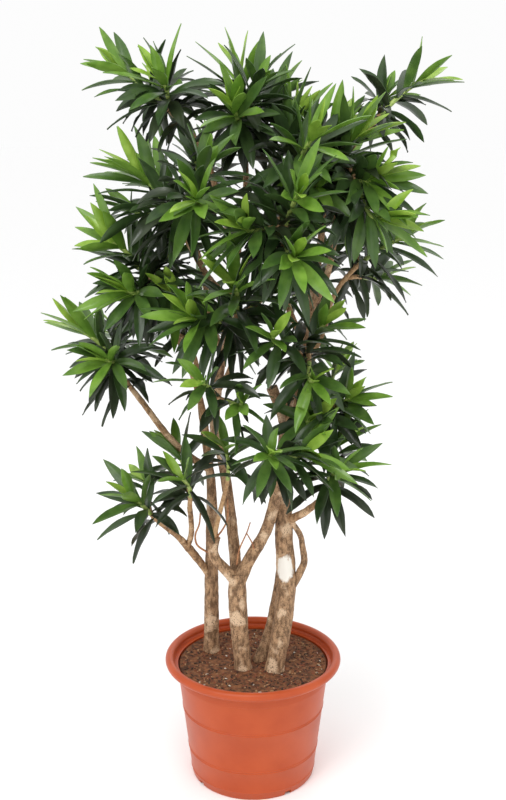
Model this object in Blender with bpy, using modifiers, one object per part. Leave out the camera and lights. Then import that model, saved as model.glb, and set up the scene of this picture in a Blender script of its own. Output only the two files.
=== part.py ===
"""A song of india dracaena about 1.7 m tall, in a plain terracotta-coloured pot.

Metres, +Z up. The origin is the middle of the pot's flat underside, and -Y is the plant's front.
Four stems stand on the soil. They fork into boughs, and each mass of leaves grows from the tip of a
bough: one stem branches into shoots, and each shoot carries a spiral of leaves, young and upright at
its tip, old and hanging further back.
"""

import math
import random

import bmesh
import bpy
import numpy as np
from mathutils import Matrix, Vector
from mathutils.bvhtree import BVHTree

GAP = 0.0003  # the clearance between pieces that touch

POT_HEIGHT = 0.292
RIM_RADIUS = 0.200
BEAD_RADIUS = 0.0098  # the rolled rim
FOOT_RADIUS = 0.141
WALL_TOP_RADIUS = 0.1715  # the wall, right under the rolled rim
WALL = 0.004
COLLAR_BOTTOM = 0.243
COLLAR_STEP = 0.0015  # how far the collar under the rim stands out
POT_STEPS = 36
NOTCHES = 4
NOTCH_TURN = math.radians(34)
NOTCH_SIZE = (0.016, 0.018, 0.018)
DRAIN_RADIUS = 0.007
DRAIN_CIRCLE = 0.085
DRAINS = 6
SOIL_TOP = 0.270

STEM_SIDES = 8
BOUGH_SIDES = 6
TWIG_SIDES = 3
RING_SPACING = 0.045  # between the rings of a limb
FLARE_HEIGHT = 0.018  # the root flare dies out over this height
FLARE = 0.35  # how much wider the foot is, as a share of the stem's radius

LEAF_LENGTH = 0.158
LEAF_WIDTH = 0.040
LEAF_THICKNESS = 0.0026
LEAF_WIDEST = 0.42  # where along the blade it is widest
LEAVES_A_SHOOT = 13  # tried on each shoot, before some are skipped for want of room
LEAFY_STRETCH = 0.20  # the part of a shoot that still has its leaves
TURNS_TRIED = (0, 0.5, -0.5, 1.0, -1.0)  # how far round its shoot a leaf may shift to find room
SIZES_TRIED = (1, 0.8)
GOLDEN_ANGLE = math.radians(137.5)
STEM_RADIUS = 0.0056  # of a mass's stem, at its foot
SHOOT_RADIUS = 0.0042
SHOOT_SPACING = 0.035  # between the rings of a shoot
BRANCH_FROM = 0.35  # how far along its mass's stem the first branch leaves, as a share
BRANCH_STEP = 0.15  # from each branch to the next, as a share of the stem
RISE_INSIDE = 80  # degrees that a shoot rises by near the plant's middle
RISE_OUTSIDE = 25  # and at the crown's edge
CROWN_RADIUS = 0.28  # where the crown's edge starts
YOUNG_PITCH = 14  # degrees between a shoot and its youngest leaf
OLD_PITCH = 90
YOUNG_DROOP = 0.15  # how far a leaf's tip sinks below its first direction
OLD_DROOP = 1.4
TIP_PAST_FAN = 0.03  # a shoot's tip stands this far past the place that its young leaves fan out from
ROOT_DEPTH = 0.008  # how far a leaf's root runs down inside its shoot
CELL_MARGIN = 0.006  # a leaf stays this much nearer to its own mass's shoots than to any other's
LIMB_CLEARANCE = 0.004
SEED = 11

UP = Vector((0, 0, 1))

for old in list(bpy.data.objects):
    bpy.data.objects.remove(old)


def collection(name):
    """A new collection in the scene."""
    made = bpy.data.collections.new(name)
    bpy.context.scene.collection.children.link(made)
    return made


PLANT = collection("song_of_india_dracaena")
CUTTERS = collection("cutters")


def material(name, colour, roughness):
    """A Principled material with a linear base colour."""
    made = bpy.data.materials.new(name)
    made.use_nodes = True
    shader = made.node_tree.nodes["Principled BSDF"]
    shader.inputs["Base Color"].default_value = (*colour, 1)
    shader.inputs["Roughness"].default_value = roughness
    shader.inputs["Metallic"].default_value = 0
    return made


PLASTIC = material("terracotta_plastic", (0.57, 0.125, 0.058), 0.42)
COIR = material("coir_soil", (0.145, 0.062, 0.032), 0.95)
BARK = material("bark", (0.33, 0.21, 0.12), 0.85)
LEAF = material("leaf", (0.035, 0.12, 0.018), 0.4)


def add_object(name, mesh, look, into=PLANT):
    """An object of this mesh, with its material."""
    made = bpy.data.objects.new(name, mesh)
    into.objects.link(made)
    mesh.materials.clear()
    mesh.materials.append(look)
    return made


def hide(helper):
    """Marks a cutter, which is no part of the plant."""
    helper.hide_render = True
    helper.display_type = "WIRE"
    return helper


def turned(name, outline, look, steps=POT_STEPS):
    """A turned solid from (radius, height) pairs that run down its outer side."""
    mesh = bpy.data.meshes.new(name)
    mesh.from_pydata([(r, 0, z) for r, z in outline], [(i, i + 1) for i in range(len(outline) - 1)], [])
    made = add_object(name, mesh, look)
    screw = made.modifiers.new("turn", "SCREW")
    screw.steps = screw.render_steps = steps
    screw.use_merge_vertices = True
    screw.merge_threshold = 0.0001
    screw.use_smooth_shade = True
    return made


def cut(piece, cutter):
    """Takes a cutter's shape out of a piece."""
    boolean = piece.modifiers.new("cut", "BOOLEAN")
    boolean.operation = "DIFFERENCE"
    boolean.solver = "EXACT"
    boolean.object = cutter


def keep_largest(mesh):
    """Drops loose scraps and sealed hollows, which a union can leave."""
    shape = bmesh.new()
    shape.from_mesh(mesh)
    bmesh.ops.remove_doubles(shape, verts=shape.verts, dist=1e-6)
    bodies = []
    seen = set()
    for first in shape.faces:
        if first in seen:
            continue
        body = [first]
        seen.add(first)
        for face in body:
            for other in (near for edge in face.edges for near in edge.link_faces):
                if other not in seen:
                    seen.add(other)
                    body.append(other)
        bodies.append(body)
    bodies.sort(key=len)
    for body in bodies[:-1]:
        bmesh.ops.delete(shape, geom=body, context="FACES")
    shape.to_mesh(mesh)
    shape.free()


def settle(made):
    """Applies an object's modifiers and keeps its one body."""
    graph = bpy.context.evaluated_depsgraph_get()
    mesh = bpy.data.meshes.new_from_object(made.evaluated_get(graph))
    made.modifiers.clear()
    made.data = mesh
    keep_largest(mesh)


def wall_radius(z):
    """The outer radius of the pot's tapering wall at a height."""
    return FOOT_RADIUS + (WALL_TOP_RADIUS - COLLAR_STEP - FOOT_RADIUS) * z / COLLAR_BOTTOM


def make_pot():
    """The moulded pot: a tapering wall, a collar, a rolled rim, four foot notches and drain holes."""
    bead_centre = (RIM_RADIUS - BEAD_RADIUS, POT_HEIGHT - BEAD_RADIUS)
    outline = [(0, WALL), (FOOT_RADIUS - WALL, WALL), (wall_radius(COLLAR_BOTTOM) - WALL, COLLAR_BOTTOM)]
    for turn in range(205, -121, -54):
        angle = math.radians(turn)
        outline.append((
            bead_centre[0] + BEAD_RADIUS * math.cos(angle),
            bead_centre[1] + BEAD_RADIUS * math.sin(angle),
        ))
    outline += [
        (WALL_TOP_RADIUS, bead_centre[1] - BEAD_RADIUS),
        (WALL_TOP_RADIUS, COLLAR_BOTTOM + 0.003),
        (wall_radius(COLLAR_BOTTOM), COLLAR_BOTTOM),
        (FOOT_RADIUS, 0.004),
        (FOOT_RADIUS - 0.003, 0),
        (0, 0),
    ]
    pot = turned("pot", outline, PLASTIC)
    for i in range(NOTCHES):
        angle = NOTCH_TURN + i * math.tau / NOTCHES
        mesh = bpy.data.meshes.new("notch")
        shape = bmesh.new()
        bmesh.ops.create_cube(shape, size=1, matrix=Matrix.Diagonal((*NOTCH_SIZE, 1)))
        shape.to_mesh(mesh)
        shape.free()
        notch = hide(add_object("notch", mesh, PLASTIC, CUTTERS))
        notch.location = (FOOT_RADIUS * math.sin(angle), -FOOT_RADIUS * math.cos(angle), 0)
        notch.rotation_euler.z = angle
        cut(pot, notch)
    for i in range(DRAINS):
        angle = i * math.tau / DRAINS
        mesh = bpy.data.meshes.new("drain")
        shape = bmesh.new()
        bmesh.ops.create_cone(
            shape, cap_ends=True, segments=12, radius1=DRAIN_RADIUS, radius2=DRAIN_RADIUS, depth=4 * WALL
        )
        shape.to_mesh(mesh)
        shape.free()
        drain = hide(add_object("drain", mesh, PLASTIC, CUTTERS))
        drain.location = (DRAIN_CIRCLE * math.cos(angle), DRAIN_CIRCLE * math.sin(angle), 0)
        cut(pot, drain)


def make_soil():
    """The plug of coir that fills the pot to just under its rim."""
    clear = WALL + GAP
    outline = [
        (0, SOIL_TOP),
        (wall_radius(SOIL_TOP) - clear - 0.001, SOIL_TOP),
        (wall_radius(COLLAR_BOTTOM) - clear, COLLAR_BOTTOM),
        (FOOT_RADIUS - clear, WALL + GAP),
        (0, WALL + GAP),
    ]
    turned("soil", outline, COIR)


def smooth_route(points, spacing):
    """Points at even steps along the smooth curve through a route's own points."""
    route = [Vector(p) for p in points]
    route = [2 * route[0] - route[1], *route, 2 * route[-1] - route[-2]]
    fine = []
    for before, start, end, after in zip(route, route[1:], route[2:], route[3:]):
        for i in range(12):
            t = i / 12
            fine.append(0.5 * (
                2 * start
                + (end - before) * t
                + (2 * before - 5 * start + 4 * end - after) * t**2
                + (3 * start - before - 3 * end + after) * t**3
            ))
    fine.append(route[-2])
    lengths = [0.0]
    for a, b in zip(fine, fine[1:]):
        lengths.append(lengths[-1] + (b - a).length)
    count = max(3, round(lengths[-1] / spacing) + 1)
    wanted = np.linspace(0, lengths[-1], count)
    axes = [np.interp(wanted, lengths, [p[axis] for p in fine]) for axis in range(3)]
    return [Vector(p) for p in zip(*axes)]


def bend(start, leaving, end, arriving, spacing):
    """Points along a limb that leaves one place in one direction and arrives at another in its own."""
    reach = (end - start).length / 3
    handles = (start, start + leaving.normalized() * reach, end - arriving.normalized() * reach, end)
    count = max(3, round(3 * reach / spacing) + 1)
    points = []
    for t in np.linspace(0, 1, count).tolist():
        weights = ((1 - t) ** 3, 3 * t * (1 - t) ** 2, 3 * t**2 * (1 - t), t**3)
        points.append(sum((w * h for w, h in zip(weights, handles)), Vector()))
    return points


def make_section(sides):
    """The ring that a limb or twig is swept from, of radius 1."""
    curve = bpy.data.curves.new("section", "CURVE")
    curve.dimensions = "2D"
    ring = curve.splines.new("POLY")
    ring.points.add(sides - 1)
    for i, point in enumerate(ring.points):
        angle = math.tau * i / sides
        point.co = (math.cos(angle), math.sin(angle), 0, 1)
    ring.use_cyclic_u = True
    made = bpy.data.objects.new("section", curve)
    CUTTERS.objects.link(made)
    return hide(made)


SECTIONS = {sides: make_section(sides) for sides in (STEM_SIDES, BOUGH_SIDES, TWIG_SIDES)}


def swept_mesh(name, path, radii, sides):
    """A closed tapering tube along a path."""
    curve = bpy.data.curves.new(name, "CURVE")
    curve.dimensions = "3D"
    curve.bevel_mode = "OBJECT"
    curve.bevel_object = SECTIONS[sides]
    curve.use_fill_caps = True
    spline = curve.splines.new("POLY")
    spline.points.add(len(path) - 1)
    for point, place, radius in zip(spline.points, path, radii):
        point.co = (*place, 1)
        point.radius = radius
    guide = bpy.data.objects.new(name, curve)
    CUTTERS.objects.link(guide)
    graph = bpy.context.evaluated_depsgraph_get()
    mesh = bpy.data.meshes.new_from_object(guide.evaluated_get(graph))
    bpy.data.objects.remove(guide)
    bpy.data.curves.remove(curve)
    shape = bmesh.new()
    shape.from_mesh(mesh)
    bmesh.ops.remove_doubles(shape, verts=shape.verts, dist=1e-6)
    bmesh.ops.recalc_face_normals(shape, faces=shape.faces)
    shape.to_mesh(mesh)
    shape.free()
    return mesh


LIMBS = {}  # name: its path, the radius at each point, and its number of sides


def radius_along(path, sizes):
    """A radius for each point of a path, from a few sizes spread evenly along it."""
    return np.interp(np.linspace(0, 1, len(path)), np.linspace(0, 1, len(sizes)), sizes).tolist()


def make_limb(name, path, radii, sides, cut_by):
    """One stem or bough. Its foot is cut to fit the limbs that it leaves."""
    LIMBS[name] = (path, radii, sides)
    made = add_object(name, swept_mesh(name, path, radii, sides), BARK)
    made.data.shade_smooth()
    made.data.set_sharp_from_angle(angle=math.radians(50))
    for other in cut_by:
        other_path, other_radii, other_sides = LIMBS[other]
        swollen = [r + GAP / math.cos(math.pi / other_sides) for r in other_radii]
        ends = [
            other_path[0] - (other_path[1] - other_path[0]).normalized() * GAP,
            *other_path[1:-1],
            other_path[-1] + (other_path[-1] - other_path[-2]).normalized() * GAP,
        ]
        mesh = swept_mesh("cutter_" + other, ends, swollen, other_sides)
        cut(made, hide(add_object("cutter_" + other, mesh, BARK, CUTTERS)))
    settle(made)
    return made


def make_stem(name, route, sizes):
    """A stem that stands on the soil on a flat cut, with a root flare."""
    buried = Vector(route[0]) - UP * 0.01
    path = smooth_route([buried, *route], RING_SPACING)
    flare_top = SOIL_TOP + FLARE_HEIGHT
    at = [p.z for p in path]
    foot = [buried, *(path[0].lerp(path[1], (z - at[0]) / (at[1] - at[0])) for z in (SOIL_TOP + 0.006, flare_top))]
    path = foot + [p for p in path if p.z > flare_top + 0.01]
    heights = np.linspace(SOIL_TOP, path[-1].z, len(sizes))
    radii = [
        float(np.interp(p.z, heights, sizes)) * (1 + FLARE * max(0, 1 - (p.z - SOIL_TOP) / FLARE_HEIGHT))
        for p in path
    ]
    stem = make_limb(name, path, radii, STEM_SIDES, ())
    shape = bmesh.new()
    shape.from_mesh(stem.data)
    cut_level = Vector((0, 0, SOIL_TOP + GAP))
    everything = shape.verts[:] + shape.edges[:] + shape.faces[:]
    made = bmesh.ops.bisect_plane(shape, geom=everything, plane_co=cut_level, plane_no=-UP, clear_outer=True)
    edges = [e for e in made["geom_cut"] if isinstance(e, bmesh.types.BMEdge)]
    bmesh.ops.contextual_create(shape, geom=edges)
    bmesh.ops.recalc_face_normals(shape, faces=shape.faces)
    shape.to_mesh(stem.data)
    shape.free()


def place_on(name, height):
    """The point on a limb's centre line at a height."""
    path = LIMBS[name][0]
    for a, b in zip(path, path[1:]):
        if a.z <= height <= b.z:
            return a.lerp(b, (height - a.z) / (b.z - a.z))
    return path[-1]


def make_bough(name, parent, height, tip, leaving, arriving, sizes, cut_by=()):
    """A bough from a height on its parent to a tip, leaving and arriving in the given directions."""
    foot = place_on(parent, height)
    path = bend(foot, Vector(leaving), Vector(tip), Vector(arriving), RING_SPACING)
    make_limb(name, path, radius_along(path, sizes), BOUGH_SIDES, (parent, *cut_by))


def make_arm(name, route, sizes, cut_by):
    """A limb that follows a route of its own from the fork that it leaves."""
    path = smooth_route(route, RING_SPACING * 0.8)
    make_limb(name, path, radius_along(path, sizes), STEM_SIDES, cut_by)


def make_limbs():
    """The stems, their arms and the boughs."""
    make_stem("stem_left", [
        (-0.097, 0.060, 0.27), (-0.095, 0.055, 0.47), (-0.093, 0.048, 0.60), (-0.094, 0.043, 0.69),
        (-0.101, 0.041, 0.74),
    ], (0.0150, 0.0135, 0.0110, 0.0085))
    make_stem("stem_front", [
        (-0.022, -0.030, 0.27), (-0.032, -0.030, 0.38), (-0.035, -0.030, 0.46), (-0.034, -0.030, 0.50),
    ], (0.0185, 0.0195, 0.0205, 0.0215, 0.0170))
    make_stem("stem_right", [
        (0.048, -0.040, 0.27), (0.068, -0.020, 0.38), (0.075, -0.004, 0.48), (0.069, 0.006, 0.58),
        (0.069, 0.020, 0.70), (0.076, 0.040, 0.88),
    ], (0.0205, 0.0220, 0.0215, 0.0190, 0.0175, 0.0155))
    make_stem("stem_back", [
        (0.016, 0.006, 0.27), (0.042, 0.026, 0.345), (0.064, 0.046, 0.46), (0.074, 0.062, 0.60),
        (0.085, 0.085, 0.80), (0.115, 0.098, 0.98), (0.140, 0.082, 1.16),
    ], (0.0135, 0.0130, 0.0120, 0.0105, 0.0085))
    make_arm("arm_front_right", [
        (-0.034, -0.030, 0.480), (-0.006, -0.026, 0.534), (0.029, -0.020, 0.598), (0.047, -0.020, 0.663),
        (0.060, -0.035, 0.750), (0.066, -0.058, 0.850), (0.040, -0.070, 0.935),
    ], (0.0150, 0.0130, 0.0122, 0.0118, 0.0110, 0.0120), ("stem_front",))
    make_arm("arm_front_left", [
        (-0.030, -0.030, 0.475), (-0.060, -0.030, 0.507), (-0.082, -0.030, 0.532), (-0.089, -0.030, 0.556),
        (-0.085, -0.030, 0.585),
    ], (0.0150, 0.0120, 0.0110, 0.0115, 0.0130), ("stem_front", "arm_front_right"))
    make_arm("arm_front_middle", [
        (-0.036, -0.024, 0.470), (-0.041, 0.008, 0.530), (-0.049, 0.026, 0.607), (-0.066, 0.030, 0.737),
        (-0.084, 0.030, 0.820), (-0.072, 0.024, 0.950), (-0.045, 0.010, 1.110), (-0.024, 0.000, 1.270),
    ], (0.0130, 0.0118, 0.0112, 0.0100, 0.0085, 0.0070), ("stem_front", "arm_front_right", "arm_front_left"))


def make_boughs():
    """The boughs, each from a height on its parent to the foot of one mass of leaves."""
    make_bough("bough_low_left", "stem_left", 0.455, (-0.205, -0.020, 0.615), (-0.5, -0.3, 0.8),
               (-0.75, -0.2, 0.6), (0.0095, 0.0085, 0.0092, 0.0065, 0.0058))
    make_bough("bough_low_inner", "bough_low_left", 0.548, (-0.138, -0.035, 0.655), (0.45, -0.3, 0.8),
               (0.0, -0.5, 0.85), (0.0062, 0.0056))
    make_bough("bough_left_mid", "stem_left", 0.722, (-0.262, 0.000, 0.915), (-0.85, -0.1, 0.4),
               (-0.6, -0.05, 0.8), (0.0085, 0.0070, 0.0058))
    make_bough("bough_left_up", "stem_left", 0.728, (-0.185, 0.000, 1.070), (-0.05, 0.45, 0.9),
               (-0.5, -0.1, 0.85), (0.0085, 0.0070, 0.0058), ("bough_left_mid",))
    make_bough("bough_front", "arm_front_right", 0.745, (0.045, -0.170, 0.800), (-0.3, -0.85, 0.4),
               (-0.05, -0.85, 0.5), (0.0075, 0.0058))
    make_bough("bough_right_low", "stem_right", 0.605, (0.150, -0.085, 0.700), (0.8, -0.35, 0.5),
               (0.3, -0.6, 0.7), (0.0100, 0.0080, 0.0062))
    make_arm("shoot_loop", [
        (0.080, -0.002, 0.440), (0.103, -0.008, 0.488), (0.114, -0.010, 0.518), (0.111, -0.002, 0.548),
        (0.104, 0.002, 0.580), (0.075, 0.008, 0.622),
    ], (0.0080, 0.0090, 0.0070, 0.0062, 0.0062), ("stem_right", "bough_right_low"))
    make_bough("bough_right_mid", "stem_right", 0.790, (0.140, -0.045, 0.850), (0.8, -0.3, 0.4),
               (0.5, -0.5, 0.6), (0.0078, 0.0058))
    make_bough("bough_right_high", "stem_right", 0.865, (0.165, 0.055, 1.080), (0.4, 0.15, 0.9),
               (0.2, -0.05, 1.0), (0.0110, 0.0085, 0.0062))
    make_bough("bough_top_right", "stem_back", 1.145, (0.222, 0.050, 1.440), (0.1, -0.15, 1.0),
               (0.7, 0.0, 0.7), (0.0080, 0.0066, 0.0058))
    make_bough("bough_upper_right", "stem_back", 1.080, (0.170, -0.040, 1.270), (0.3, -0.75, 0.5),
               (0.05, -0.3, 0.95), (0.0072, 0.0058))
    make_bough("bough_top_left", "arm_front_middle", 1.215, (-0.125, 0.000, 1.450), (-0.55, 0.0, 0.8),
               (-0.65, 0.0, 0.75), (0.0064, 0.0058))
    make_bough("bough_top", "arm_front_middle", 1.250, (-0.015, 0.030, 1.390), (0.3, 0.1, 0.95),
               (0.0, 0.0, 1.0), (0.0066, 0.0058), ("bough_top_left",))
    make_bough("bough_centre_top", "arm_front_middle", 1.150, (0.070, -0.030, 1.330), (0.7, -0.2, 0.6),
               (0.2, -0.2, 1.0), (0.0066, 0.0058))
    make_bough("bough_front_high", "arm_front_middle", 1.050, (0.045, -0.150, 1.190), (0.4, -0.8, 0.45),
               (0.1, -0.6, 0.8), (0.0066, 0.0058))
    make_bough("bough_left_high", "arm_front_middle", 1.110, (-0.130, -0.090, 1.240), (-0.75, -0.45, 0.5),
               (-0.4, -0.4, 0.8), (0.0066, 0.0058))
    make_bough("bough_centre", "arm_front_middle", 0.900, (-0.040, -0.080, 1.020), (0.25, -0.75, 0.6),
               (0.0, -0.3, 0.95), (0.0066, 0.0058))
    make_bough("bough_centre_right", "arm_front_right", 0.855, (0.095, -0.105, 0.950), (0.75, -0.35, 0.5),
               (0.1, -0.2, 1.0), (0.0070, 0.0058))
    make_bough("bough_centre_low", "arm_front_middle", 0.800, (-0.078, -0.090, 0.890), (-0.1, -0.9, 0.45),
               (-0.05, -0.7, 0.7), (0.0066, 0.0058))
    make_bough("bough_back_left", "stem_left", 0.680, (-0.130, 0.170, 0.930), (-0.15, 0.85, 0.45),
               (-0.1, 0.3, 0.95), (0.0078, 0.0058))
    make_bough("bough_back_right", "stem_back", 0.830, (0.150, 0.200, 0.990), (0.4, 0.75, 0.45),
               (0.2, 0.3, 0.9), (0.0078, 0.0058))
    make_bough("bough_back_high", "stem_back", 1.000, (0.060, 0.220, 1.160), (-0.5, 0.75, 0.45),
               (-0.1, 0.2, 1.0), (0.0072, 0.0058))
    make_bough("bough_back_upper", "arm_front_middle", 1.000, (-0.120, 0.150, 1.180), (-0.5, 0.75, 0.4),
               (-0.3, 0.2, 0.9), (0.0066, 0.0058))


# Each mass of leaves: the limb whose tip carries it, and the place that each shoot's young leaves fan out from.
MASSES = {
    "leaves_low_left": ("bough_low_left", [(-0.231, -0.055, 0.667), (-0.220, 0.060, 0.665)]),
    "leaves_low_inner": ("bough_low_inner", [(-0.130, -0.120, 0.732), (-0.150, 0.020, 0.740)]),
    "leaves_low_centre": ("arm_front_left", [(-0.050, -0.130, 0.800)]),
    "leaves_left": ("bough_left_mid", [(-0.317, 0.000, 1.017), (-0.262, -0.100, 0.985), (-0.255, 0.100, 0.985)]),
    "leaves_left_mid": ("bough_left_up", [(-0.258, -0.050, 1.220), (-0.227, -0.120, 1.133), (-0.141, -0.080, 1.110)]),
    "leaves_front": ("bough_front", [(0.031, -0.320, 0.861), (0.090, -0.230, 0.830)]),
    "leaves_right_low": ("bough_right_low", [(0.155, -0.200, 0.785), (0.165, -0.070, 0.800)]),
    "leaves_right_mid": ("bough_right_mid", [(0.175, -0.120, 0.908), (0.100, -0.180, 0.880), (0.160, 0.010, 0.930)]),
    "leaves_right": ("bough_right_high", [(0.283, 0.000, 1.226), (0.262, 0.100, 1.128), (0.200, 0.140, 1.210)]),
    "leaves_top_right": ("bough_top_right", [(0.298, 0.050, 1.532), (0.235, 0.100, 1.490)]),
    "leaves_upper_right": ("bough_upper_right", [
        (0.186, -0.050, 1.426), (0.150, 0.035, 1.420), (0.207, -0.110, 1.350), (0.224, -0.150, 1.285),
    ]),
    "leaves_top": ("bough_top", [(-0.020, 0.050, 1.518), (-0.029, -0.080, 1.462), (0.040, 0.130, 1.480)]),
    "leaves_top_left": ("bough_top_left", [(-0.222, 0.000, 1.546), (-0.145, -0.040, 1.510), (-0.160, 0.080, 1.490)]),
    "leaves_centre_top": ("bough_centre_top", [(0.099, -0.150, 1.425), (0.066, 0.000, 1.439)]),
    "leaves_front_high": ("bough_front_high", [
        (0.076, -0.280, 1.343), (0.069, -0.300, 1.231), (-0.010, -0.240, 1.270),
    ]),
    "leaves_left_high": ("bough_left_high", [(-0.204, -0.050, 1.354), (-0.093, -0.250, 1.327)]),
    "leaves_centre": ("bough_centre", [(-0.030, -0.220, 1.160), (-0.100, -0.190, 1.090)]),
    "leaves_centre_right": ("bough_centre_right", [(0.125, -0.140, 1.063), (0.035, -0.220, 1.060), (0.105, -0.220, 0.975)]),
    "leaves_centre_low": ("bough_centre_low", [(-0.087, -0.280, 0.990), (-0.020, -0.230, 0.930)]),
    "leaves_back_left": ("bough_back_left", [(-0.240, 0.190, 1.060), (-0.120, 0.270, 1.050), (-0.030, 0.230, 0.970)]),
    "leaves_back_right": ("bough_back_right", [(0.175, 0.280, 1.180), (0.080, 0.310, 1.060), (0.130, 0.230, 0.950)]),
    "leaves_back_high": ("bough_back_high", [(0.050, 0.340, 1.300), (0.190, 0.260, 1.330), (0.000, 0.280, 1.190)]),
    "leaves_back_upper": ("bough_back_upper", [(-0.200, 0.220, 1.340), (-0.090, 0.280, 1.380)]),
}


def growth_direction(fan):
    """The way a shoot points: outward from the plant's middle, and nearly upright close to it."""
    away = Vector((fan.x, fan.y, 0))
    rise = math.radians(RISE_INSIDE + (RISE_OUTSIDE - RISE_INSIDE) * min(1, away.length / CROWN_RADIUS))
    return away.normalized() * math.cos(rise) + UP * math.sin(rise)


def shoot_routes(limb, fans):
    """The stem of a mass, to the tip of its first shoot, and the shoots that branch from it."""
    path = LIMBS[limb][0]
    arriving = (path[-1] - path[-2]).normalized()
    foot = path[-1] + arriving * GAP
    square_on = foot + arriving * STEM_RADIUS
    ends = [(fan + growth_direction(fan) * TIP_PAST_FAN, growth_direction(fan)) for fan in fans]
    stem = [foot, *bend(square_on, arriving, *ends[0], SHOOT_SPACING)]
    routes = [stem]
    for i, (tip, growth) in enumerate(ends[1:]):
        at = BRANCH_FROM + BRANCH_STEP * i
        j = int(at * (len(stem) - 1))
        start = stem[j].lerp(stem[j + 1], at * (len(stem) - 1) - j)
        along = (stem[j + 1] - stem[j]).normalized()
        routes.append(bend(start, along + (tip - start).normalized(), tip, growth, SHOOT_SPACING))
    return routes


def segments(paths):
    """The start and the run of each straight piece of some paths, as arrays."""
    starts = np.array([p for path in paths for p in path[:-1]], dtype=float)
    ends = np.array([p for path in paths for p in path[1:]], dtype=float)
    return starts, ends - starts


def distances(points, lines):
    """How far each point lies from each straight piece, and how far along the piece it is nearest."""
    starts, runs = lines
    offset = points[:, None, :] - starts[None, :, :]
    share = (offset * runs).sum(2) / (runs * runs).sum(1)
    share = np.clip(share, 0, 1)
    return np.linalg.norm(offset - share[:, :, None] * runs, axis=2), share


class Blade:
    """One leaf: where it grows, the way it arches, and how wide it is along its length."""

    def __init__(self, place, axis, turn, age, length):
        across = axis.orthogonal().normalized()
        radial = Matrix.Rotation(turn, 3, axis) @ across
        pitch = math.radians(YOUNG_PITCH + (OLD_PITCH - YOUNG_PITCH) * age**0.6)
        self.start = axis * math.cos(pitch) + radial * math.sin(pitch)
        self.end = (self.start - UP * (YOUNG_DROOP + (OLD_DROOP - YOUNG_DROOP) * age)).normalized()
        self.place = place
        self.root = place - axis * ROOT_DEPTH
        self.length = length
        self.face = axis * (1 - age) + UP * (0.3 + age)

    def at(self, share):
        """The point this share of the way along the blade's middle line."""
        steps = 6
        place = self.place.copy()
        for i in range(steps):
            way = self.start.lerp(self.end, share * (i + 0.5) / steps).normalized()
            place += way * (self.length * share / steps)
        return place

    def frame(self, share):
        """The blade's way, its sideways direction and its upper face at this share of its length."""
        way = self.start.lerp(self.end, share).normalized()
        side = way.cross(self.face).normalized()
        return way, side, side.cross(way)


def leaf_samples(blade):
    """Points on a blade's edges and middle, away from its root, three to each step of its length."""
    points = []
    for share, width in ((0.15, 0.4), (0.3, 0.8), (LEAF_WIDEST, 1), (0.6, 0.75), (0.8, 0.4), (1, 0)):
        middle = blade.at(share)
        _, side, _ = blade.frame(share)
        half = side * LEAF_WIDTH / 2 * width
        points += [middle - half, middle, middle + half]
    return np.array(points, dtype=float)


def sheet(points):
    """The blade between its sample points, for finding leaves that cross."""
    corners = range(0, len(points) - 4, 3)
    faces = [(i + j, i + j + 1, i + j + 4, i + j + 3) for i in corners for j in (0, 1)]
    return BVHTree.FromPolygons(points.tolist(), faces)


def leaf_mesh(blade):
    """A leaf of eight faces: an octahedron whose corners become root, tip, edges and midrib."""
    mesh = bpy.data.meshes.new("leaf")
    shape = bmesh.new()
    bmesh.ops.create_uvsphere(shape, u_segments=4, v_segments=2, radius=1)
    tip = blade.at(1)
    middle = blade.at(LEAF_WIDEST)
    _, side, face = blade.frame(LEAF_WIDEST)
    for corner in shape.verts:
        x, y, z = corner.co
        if abs(z) > 0.5:
            corner.co = tip if z > 0 else blade.root
        else:
            corner.co = middle + side * x * LEAF_WIDTH / 2 + face * y * LEAF_THICKNESS / 2
    bmesh.ops.recalc_face_normals(shape, faces=shape.faces)
    shape.to_mesh(mesh)
    shape.free()
    return mesh


def shoot_leaves(route, chance):
    """The leaves of one shoot, from its tip back, on a spiral."""
    lengths = [0.0]
    back = route[::-1]
    for a, b in zip(back, back[1:]):
        lengths.append(lengths[-1] + (b - a).length)
    spin = chance.uniform(0, math.tau)
    for i in range(LEAVES_A_SHOOT):
        age = (i + 0.5) / LEAVES_A_SHOOT
        distance = LEAFY_STRETCH * age
        if distance > lengths[-1] - 0.01:
            return
        j = int(np.searchsorted(lengths, distance, side="right")) - 1
        share = (distance - lengths[j]) / (lengths[j + 1] - lengths[j])
        axis = (back[j] - back[j + 1]).normalized()
        length = LEAF_LENGTH * (0.72 + 0.28 * min(1, i / 3)) * chance.uniform(0.88, 1.06)
        turn = spin + i * GOLDEN_ANGLE + chance.uniform(-0.2, 0.2)
        place = back[j].lerp(back[j + 1], share)
        yield [Blade(place, axis, turn + shift, age, length * size) for size in SIZES_TRIED for shift in TURNS_TRIED]


def join(name, pieces):
    """One closed solid of all the pieces of a mass."""
    body, *others = pieces
    group = bpy.data.collections.new("joined")
    for mesh in others:
        group.objects.link(bpy.data.objects.new("piece", mesh))
    whole = add_object(name, body, LEAF)
    union = whole.modifiers.new("union", "BOOLEAN")
    union.operation = "UNION"
    union.solver = "EXACT"
    union.operand_type = "COLLECTION"
    union.collection = group
    settle(whole)
    for piece in list(group.objects):
        bpy.data.objects.remove(piece)
    bpy.data.collections.remove(group)


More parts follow.
